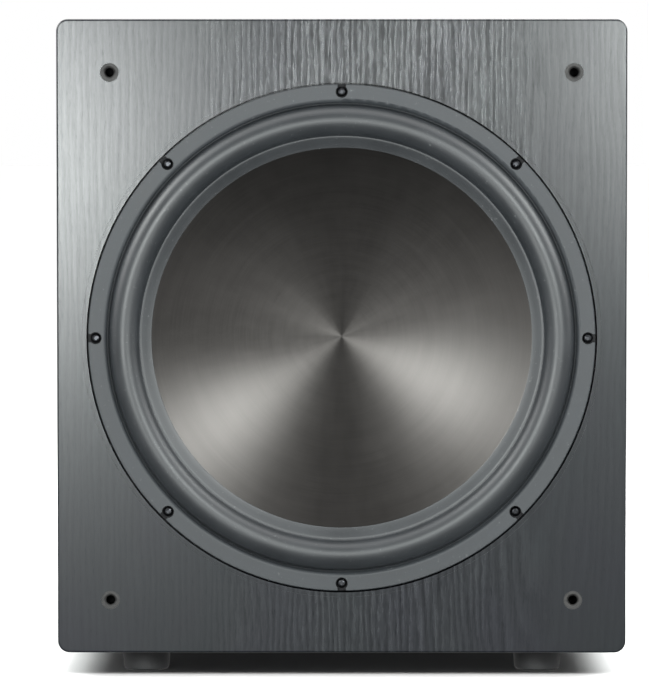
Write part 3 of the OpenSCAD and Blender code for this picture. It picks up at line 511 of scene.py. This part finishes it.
FINISHES = {
    "bare_board": bare_board(),
    "socket_black": socket_black(),
    "wadding": wadding(),
    "black_plastic": moulded("black_plastic", (0.028, 0.029, 0.031), rough=0.38, grain=0.4),
    "satin_rubber": driver_rubber("satin_rubber", (0.018, 0.021, 0.024), 0.58),
    "roll_rubber": driver_rubber("roll_rubber", (0.0125, 0.0145, 0.0165), 0.41),
    "foot_rubber": moulded("foot_rubber", (0.022, 0.022, 0.023), rough=0.62, grain=0.9, grain_depth=0.08),
    "foam": moulded("foam", (0.030, 0.030, 0.032), rough=0.9, grain=0.8, grain_depth=0.5, spread=0.5),
    "cast_aluminium": moulded("cast_paint", (0.008, 0.008, 0.009), rough=0.6, grain=1.1, grain_depth=0.10,
                              wear=0.1, shine=0.12),
    "spun_aluminium": spun_aluminium(),
    "black_steel": metal("black_steel", (0.045, 0.046, 0.050), 0.34, (0.5, 0.5, 3), 0.02, spread=0.3),
    "plated_steel": metal("plated_steel", (0.58, 0.57, 0.54), 0.24, (0.4, 5, 0.4), 0.01),
    "ferrite": ferrite(),
    "spider_cloth": spider_cloth(),
    "former_film": former_film(),
    "copper": wound_wire("copper", 1.2 * MM, (0.62, 0.27, 0.12)),
    "gold_plate": metal("gold_plate", (0.78, 0.55, 0.22), 0.18, (0.4, 3, 0.4), 0.006, spread=0.08),
    "cable_sheath": cable_sheath(),
    "plate_black": plate_black(),
    "can_steel": metal("can_steel", (0.50, 0.51, 0.52), 0.32, (6, 6, 0.5), 0.01, spread=0.12),
    "circuit_board": circuit_board(),
    "winding_tape": winding_tape(),
    "capacitor_sleeve": capacitor_sleeve(),
    "fin_aluminium": metal("fin_aluminium", (0.16, 0.16, 0.17), 0.36, (0.4, 0.4, 8), 0.02),
    "bright_steel": metal("bright_steel", (0.66, 0.66, 0.66), 0.16, (0.3, 2, 0.3), 0.005, spread=0.08),
    "insert_plastic": jack_insert(),
    "fuse_glass": fuse_glass(),
    "lens_blue": lens_blue(),
    "print_white": print_white(),
}

X, Y, Z = 0, 1, 2
PANELS = {
    "front_baffle": veneer("oak_front", X, Z, (0.152, 0.44, 0.085), (0.025, 0.07), 0.0),
    "back_panel": veneer("oak_back", X, Z, (-0.05, 0.10, 0.07), (0.0, 0.12), 2.3),
    "left_panel": veneer("oak_left", Y, Z, (0.03, 0.62, 0.08), (-0.05, 0.11), 5.1),
    "right_panel": veneer("oak_right", Y, Z, (-0.06, -0.15, 0.08), (0.04, 0.13), 7.7),
    "top_panel": veneer("oak_top", X, Y, (0.05, -0.5, 0.08), (0.03, 0.10), 9.2),
    "bottom_panel": veneer("oak_bottom", X, Y, (-0.04, 0.5, 0.08), (0.0, 0.12), 11.4),
}


def paint(obj, material):
    for holder in obj.material_slots:
        holder.material = material


slot_of = {part["node"]: part["material_slot"] for part in frame["record"]["subparts"]}
for name, obj in nodes.items():
    if name in PANELS:
        paint(obj, PANELS[name])
    elif name == "grille_sockets":
        paint(obj, FINISHES["socket_black"])
    elif slot_of[name] == "knob_plastic":
        paint(obj, knob_black(name))
    else:
        paint(obj, FINISHES[slot_of[name]])


# ---- Mesh kit ----

def mesh_piece(name, verts, faces, finish):
    """A closed mesh with its faces turned outward."""
    mesh = bpy.data.meshes.new(name)
    mesh.from_pydata([tuple(v) for v in verts], [], faces)
    mesh.validate()
    obj = bpy.data.objects.new(name, mesh)
    scene.collection.objects.link(obj)
    mesh.materials.append(FINISHES[finish])
    mesh.shade_smooth()
    return obj


def arc(radius, depth, size, start, end, steps):
    """Points in (radius, depth) on a circle of that size; 90 degrees points out of the front."""
    angles = np.radians(np.linspace(start, end, steps))
    return [(radius + size * math.cos(t), depth - size * math.sin(t)) for t in angles]


def lathe(name, outline, finish, steps=240):
    """A closed outline in (radius, depth behind the face), in mm, turned about the driver's axis."""
    points = np.array(outline) * MM
    angles = 2 * math.pi * np.arange(steps) / steps
    verts = [(axis_x + r * math.cos(t), face_y + d, axis_z + r * math.sin(t)) for t in angles for r, d in points]
    count = len(points)
    faces = [(i * count + k, i * count + (k + 1) % count,
              (i + 1) % steps * count + (k + 1) % count, (i + 1) % steps * count + k)
             for i in range(steps) for k in range(count)]
    piece = mesh_piece(name, verts, faces, finish)
    if points[:, 0].min() == 0:
        work = bmesh.new()
        work.from_mesh(piece.data)
        bmesh.ops.remove_doubles(work, verts=work.verts, dist=0.001 * MM)
        work.to_mesh(piece.data)
        work.free()
    return piece


def flex(piece):
    """Bakes the piece's placement into its mesh."""
    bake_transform(piece)


# ---- Driver: the roll, the dish, the spider and the tinsel leads ----

SEAT = 4.5                          # depth of the cone's rim and the frame's face, in mm
ROLL_MID, ROLL_OUT, ROLL_IN = 168.2, 11.9, 10.3


def roll_outline():
    """Inner lip with a bead along its edge, the half roll, and the lip under the trim ring."""
    inner_edge = [(147.0, SEAT), (147.3, 4.45), (147.8, 4.30), (149.6, 3.72)]
    band = [(151.2, 3.10), (152.8, 2.48), (154.2, 1.94), (155.2, 1.58)]
    valley = arc(155.85, 0.75, 0.8, 262, 345, 7)
    roll = arc(ROLL_MID, SEAT, ROLL_OUT, 162, 4, 44)
    foot = [(180.2, 4.0), (180.5, 4.4)]
    outer_lip = [(182.5, SEAT), (184.0, SEAT), (184.2, 4.8), (184.2, 5.9), (178.5, 5.9), (178.5, SEAT)]
    underside = arc(ROLL_MID, SEAT, ROLL_IN, 0, 180, 36)
    return inner_edge + band + valley + roll + foot + outer_lip + underside[1:]


roll = lathe("surround_roll", roll_outline(), "roll_rubber", steps=288)
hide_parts("surround")
flex(roll)


def dish_outline():
    """The shallow dish, a part of a sphere, and the flat rim under the roll's lip."""
    deep, reach, rim, thick = 26.0, 147.0, 156.0, 1.3
    ball = (reach * reach + deep * deep) / (2 * deep)
    centre = SEAT + deep - ball
    radii = list(np.linspace(0, reach - 0.4, 64)) + [reach]
    front = [(r, centre + math.sqrt(ball * ball - r * r)) for r in radii]
    back = [(r, centre + math.sqrt((ball + thick) ** 2 - r * r)) for r in np.linspace(reach - 1, 0, 24)]
    return front + [(reach + 0.3, SEAT), (rim, SEAT), (rim, SEAT + thick)] + back


dish = lathe("cone_dish", dish_outline(), "spun_aluminium", steps=288)
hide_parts("cone")
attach(dish, "diaphragm")


def spider_outline():
    """Corrugated cloth, flat where it is glued at both ends."""
    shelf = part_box("spider")[1].y - face_y
    middle_depth = shelf / MM - 3.4
    radii = np.linspace(46, 90, 133)
    waves = [(r, middle_depth + 2.4 * math.sin(2 * math.pi * 6 * (r - 46) / 44)) for r in radii]
    front = [(38.95, middle_depth)] + waves + [(92.2, middle_depth)]
    front += [(93.0, middle_depth + 2.6), (101.8, middle_depth + 2.6)]
    return front + [(r, d + 0.75) for r, d in reversed(front)]


spider = lathe("spider_disc", spider_outline(), "spider_cloth")
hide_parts("spider")
flex(spider)


def tinsel_lead(name, side):
    """Three strands laid round each other, along a shallow arc from the former to the terminal."""
    start, end, sag, strand, lay = 39.1, 130.7, 9.0, 0.46, 0.5
    low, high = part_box("terminal_posts")
    height = (low.y + high.y) / 2
    half = (end - start) / 2
    bow = (half * half + sag * sag) / (2 * sag)
    span = math.asin(half / bow)
    rings, sides, twists = 120, 8, 9
    verts, faces = [], []
    for number in range(3):
        first = len(verts)
        for i in range(rings + 1):
            turn = span * (2 * i / rings - 1)
            centre = Vector((start + half + bow * math.sin(turn), bow * math.cos(turn) - bow + sag, 0))
            out = Vector((math.sin(turn), math.cos(turn), 0))
            phase = 2 * math.pi * (twists * i / rings + number / 3)
            core = centre + lay * (math.cos(phase) * out + math.sin(phase) * Vector((0, 0, 1)))
            for k in range(sides):
                t = 2 * math.pi * k / sides
                p = core + strand * (math.cos(t) * out + math.sin(t) * Vector((0, 0, 1)))
                verts.append((axis_x + side * p.x * MM, height + p.y * MM, axis_z + p.z * MM))
        for i in range(rings):
            for k in range(sides):
                a, b = first + i * sides + k, first + i * sides + (k + 1) % sides
                faces.append((a, b, b + sides, a + sides))
        faces.append(tuple(first + k for k in range(sides)))
        faces.append(tuple(first + rings * sides + k for k in range(sides)))
    lead = mesh_piece(name, verts, faces, "copper")
    flex(lead)
    return lead


leads = [tinsel_lead("tinsel_lead_right", 1), tinsel_lead("tinsel_lead_left", -1)]
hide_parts("tinsel_leads")


# ---- Wadding ----

def wadding_pad(name, low, high, seed):
    """A batt of wadding: a soft block whose faces swell between its edges and whose surface is lumpy."""
    size = high - low
    spacing = 6 * MM
    counts = [max(3, round(s / spacing)) for s in size]
    random = np.random.default_rng(seed)
    waves = random.uniform(0.6, 1.4, (4, 3)) / (45 * MM) * 2
    phases = random.uniform(0, 2 * math.pi, 4)
    verts, index, faces = [], {}, []

    def point(key):
        if key not in index:
            index[key] = len(verts)
            unit = [2 * k / n - 1 for k, n in zip(key, counts)]
            radius = 8 * MM
            p = [low[i] + size[i] * (unit[i] + 1) / 2 for i in range(3)]
            inner = [min(max(p[i], low[i] + radius), high[i] - radius) for i in range(3)]
            away = Vector(p) - Vector(inner)
            if away.length > radius:
                away = away.normalized() * radius
            lump = sum(math.sin(sum(w * c for w, c in zip(wave, p)) + phase)
                       for wave, phase in zip(waves, phases)) / 4
            shrink = 1.2 * MM * (1 - lump)
            place = Vector(inner) + away
            verts.append(place - away.normalized() * shrink if away.length else place)
        return index[key]

    for axis in range(3):
        a, b = [i for i in range(3) if i != axis]
        for end in (0, counts[axis]):
            for i in range(counts[a]):
                for j in range(counts[b]):
                    corners = []
                    for di, dj in ((0, 0), (1, 0), (1, 1), (0, 1)):
                        key = [0, 0, 0]
                        key[axis], key[a], key[b] = end, i + di, j + dj
                        corners.append(point(tuple(key)))
                    flip = (end == 0) != (axis == 1)
                    faces.append(tuple(reversed(corners)) if flip else tuple(corners))
    pad = mesh_piece(name, verts, faces, "wadding")
    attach(pad, "cabinet")
    return pad


def wadding_pads():
    low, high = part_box("damping_lining")
    thick = 20 * MM
    split = [(62, 206), (246, 416)]
    rooms = []
    for place, (a0, a1) in enumerate(split):
        for level, z in (("top", high.z - thick), ("floor", low.z)):
            rooms.append((f"wadding_{level}_{place + 1}", Vector((-0.16, face_y + a0 * MM, z)),
                          Vector((0.16, face_y + a1 * MM, z + thick))))
    for side, x in (("left", low.x), ("right", high.x - thick)):
        rooms.append((f"wadding_{side}", Vector((x, face_y + 0.246, cabinet_mid_z - 0.18)),
                      Vector((x + thick, face_y + 0.416, cabinet_mid_z + 0.18))))
    return [wadding_pad(name, a, b, seed) for seed, (name, a, b) in enumerate(rooms)]


pads = wadding_pads()
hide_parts("damping_lining")


# ---- Amplifier plate: printing and pointers ----

def slabs(name, boxes, finish, body):
    """Thin bars as one piece. Each is (middle, half length, half width, half height, angle), on the
    plate and turned about Y."""
    verts, faces = [], []
    for centre, half_length, half_width, half_height, angle in boxes:
        first = len(verts)
        along = Vector((math.cos(angle), 0, math.sin(angle)))
        side = Vector((-math.sin(angle), 0, math.cos(angle)))
        inset = min(half_width, half_length) * 0.35
        outline = [(-half_length + inset, -half_width), (half_length - inset, -half_width),
                   (half_length, -half_width + inset), (half_length, half_width - inset),
                   (half_length - inset, half_width), (-half_length + inset, half_width),
                   (-half_length, half_width - inset), (-half_length, -half_width + inset)]
        for depth in (-half_height, half_height):
            verts += [Vector(centre) + a * along + b * side + Vector((0, depth, 0)) for a, b in outline]
        n = len(outline)
        faces.append(tuple(first + k for k in range(n)))
        faces.append(tuple(first + n + k for k in reversed(range(n))))
        faces += [(first + (k + 1) % n, first + k, first + n + k, first + n + (k + 1) % n) for k in range(n)]
    piece = mesh_piece(name, verts, faces, finish)
    piece.data.shade_flat()
    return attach(piece, body)


INK = 0.06 * MM


def knob_scale(node, steps=11, sweep=150):
    """Ticks round a knob from one end of its turn to the other, longer at the ends and the middle."""
    centre = middle(node)
    bars = []
    for k in range(steps):
        turn = math.radians(90 + sweep * (1 - 2 * k / (steps - 1)))
        long_tick = k % 5 == 0
        inner, outer = 13.6 * MM, (17.4 if long_tick else 15.8) * MM
        reach = (inner + outer) / 2
        place = Vector((centre.x + reach * math.cos(turn), back_y + INK, centre.z + reach * math.sin(turn)))
        bars.append((place, (outer - inner) / 2, (0.45 if long_tick else 0.3) * MM, INK, turn))
    return bars


def frame_lines(x0, x1, z0, z1, width=0.35 * MM):
    """A printed box between two corners on the plate."""
    mid_x, mid_z = (x0 + x1) / 2, (z0 + z1) / 2
    long_x, long_z = (x1 - x0) / 2, (z1 - z0) / 2
    return [(Vector((mid_x, back_y + INK, z)), long_x, width, INK, 0.0) for z in (z0, z1)] + \
           [(Vector((x, back_y + INK, mid_z)), long_z, width, INK, math.pi / 2) for x in (x0, x1)]


KNOBS = ("gain_knob", "crossover_knob", "phase_knob")
marks = [bar for node in KNOBS for bar in knob_scale(node)]
jack_low, jack_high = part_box("rca_inserts")
margin = 6 * MM
pair_w = 24 * MM + jack_high.z - jack_low.z      # two jacks, 24 mm apart
for x0, x1 in ((jack_low.x, jack_low.x + pair_w), (jack_high.x - pair_w, jack_high.x)):
    marks += frame_lines(x0 - margin, x1 + margin, jack_low.z - margin, jack_high.z + margin)
slabs("plate_marks", marks, "print_white", "cabinet")

for node in KNOBS:
    low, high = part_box(node)
    centre = middle(node)
    place = Vector((centre.x, high.y - 0.45 * MM, centre.z + 6.3 * MM))
    slabs(node.replace("knob", "pointer"), [(place, 3.1 * MM, 0.5 * MM, 0.25 * MM, math.pi / 2)],
          "print_white", node)


# ---- Floor, light and camera ----
# The two keys are kept off the floor, and a lamp for the floor alone stands in for them, so that
# the shadow under the cabinet stays narrow and dark.

def floor():
    size = 30.0
    mesh = bpy.data.meshes.new("floor")
    corners = [(-size, -size, 0), (size, -size, 0), (size, size, 0), (-size, size, 0)]
    mesh.from_pydata(corners, [], [(0, 1, 2, 3)])
    obj = bpy.data.objects.new("floor", mesh)
    scene.collection.objects.link(obj)
    s = Shader("floor_paper")
    tooth = s.noise((0.002, 0.002, 0.002), detail=3)
    s.set(Base_Color=s.ramp(tooth, (0.3, (0.84, 0.84, 0.835)), (0.7, (0.87, 0.87, 0.865))), Roughness=0.9,
          Specular_IOR_Level=0.1)
    mesh.materials.append(s.material)
    obj.visible_glossy = False
    return obj


def softbox(name, place, target, width, height, power, colour=(1, 1, 1)):
    light = bpy.data.lights.new(name, "AREA")
    light.shape = "RECTANGLE"
    light.size, light.size_y = width, height
    light.energy = power
    light.color = colour
    obj = bpy.data.objects.new(name, light)
    obj.location = place
    obj.rotation_euler = (Vector(target) - Vector(place)).to_track_quat("-Z", "Y").to_euler()
    obj.visible_camera = False
    scene.collection.objects.link(obj)
    return obj


def light_only(light, obj, state):
    """INCLUDE: the lamp lights nothing but obj. EXCLUDE: it lights everything but obj."""
    lit = bpy.data.collections.new(light.name + "_lit")
    lit.objects.link(obj)
    lit.collection_objects[0].light_linking.link_state = state
    light.light_linking.receiver_collection = lit


def sky(overhead, level, arch):
    """White to look at. It lights the scene mostly from overhead. In reflections it is dim in front,
    bright beside and above the object, a grey backdrop behind it and a lit table in front of it."""
    world = bpy.data.worlds.new("studio")
    world.use_nodes = True
    tree = world.node_tree
    tree.nodes.clear()

    def remap(value, low, high, to_low, to_high):
        node = tree.nodes.new("ShaderNodeMapRange")
        tree.links.new(value, node.inputs["Value"])
        for key, number in zip(("From Min", "From Max", "To Min", "To Max"), (low, high, to_low, to_high)):
            if isinstance(number, bpy.types.NodeSocket):
                tree.links.new(number, node.inputs[key])
            else:
                node.inputs[key].default_value = number
        return node.outputs[0]

    heading = tree.nodes.new("ShaderNodeSeparateXYZ")
    tree.links.new(tree.nodes.new("ShaderNodeTexCoord").outputs["Generated"], heading.inputs[0])
    back, up = heading.outputs[1], heading.outputs[2]
    path = tree.nodes.new("ShaderNodeLightPath").outputs
    dim, tabletop, backdrop = 0.04, 1.2, 0.5
    low = remap(up, -0.40, -0.20, dim, tabletop)
    low = remap(up, -0.15, -0.09, low, dim)
    gloss = remap(up, -0.15, 0.25, dim, arch)
    gloss = remap(back, 0.15, 0.40, gloss, backdrop)
    gloss = remap(back, -0.72, -0.35, low, gloss)
    light = remap(up, 0.15, 0.75, level, overhead)
    light = remap(up, -0.02, 0.02, 0.0, light)
    light = remap(path["Is Glossy Ray"], 0.0, 1.0, light, gloss)
    background = tree.nodes.new("ShaderNodeBackground")
    background.inputs["Color"].default_value = (1, 1, 1, 1)
    tree.links.new(remap(path["Is Camera Ray"], 0.0, 1.0, light, 1.0), background.inputs["Strength"])
    out = tree.nodes.new("ShaderNodeOutputWorld")
    tree.links.new(background.outputs[0], out.inputs["Surface"])
    scene.world = world


paper = floor()
sky(1.5, 0.15, 4.0)
driver = Vector((axis_x, face_y, axis_z))
COOL = (0.955, 1.0, 0.99)
keys = [softbox("key_left", driver + Vector((-0.46, -1.60, 0.13)), driver, 0.30, 0.30, 21.3, COOL),
        softbox("key_right", driver + Vector((0.55, -1.52, 0.30)), driver, 0.37, 0.30, 20.7, COOL)]
for key in keys:
    light_only(key, paper, "EXCLUDE")
for side in (-1, 1):
    softbox(f"side_{side + 2}", driver + Vector((1.1 * side, -0.09, 0.75)), driver, 0.7, 0.7, 13, COOL)
table = softbox("table", (0, face_y - 2.0, 1.4), (0, face_y - 0.1, 0), 1.6, 0.6, 90)
light_only(table, paper, "INCLUDE")
softbox("top", (0, face_y + 0.45, 1.7), (0, face_y + 0.25, 0.5), 1.0, 0.6, 10)
softbox("behind", (0.7, back_y + 1.5, 0.9), (0, back_y, 0.25), 1.0, 1.0, 30)

LENS, DISTANCE, EYE_HEIGHT = 237.1, 3.5, 0.443     # mm, and metres from the front and the floor
camera_data = bpy.data.cameras.new("camera")
camera_data.sensor_width = 36.0
camera_data.lens = LENS
camera_data.clip_end = 100
camera = bpy.data.objects.new("camera", camera_data)
scene.collection.objects.link(camera)
camera.location = (0, face_y - DISTANCE, EYE_HEIGHT)
aim = Vector((-0.0133, face_y, 0.2592))
camera.rotation_euler = (aim - camera.location).to_track_quat("-Z", "Y").to_euler()
scene.camera = camera
scene.view_settings.view_transform = "Standard"
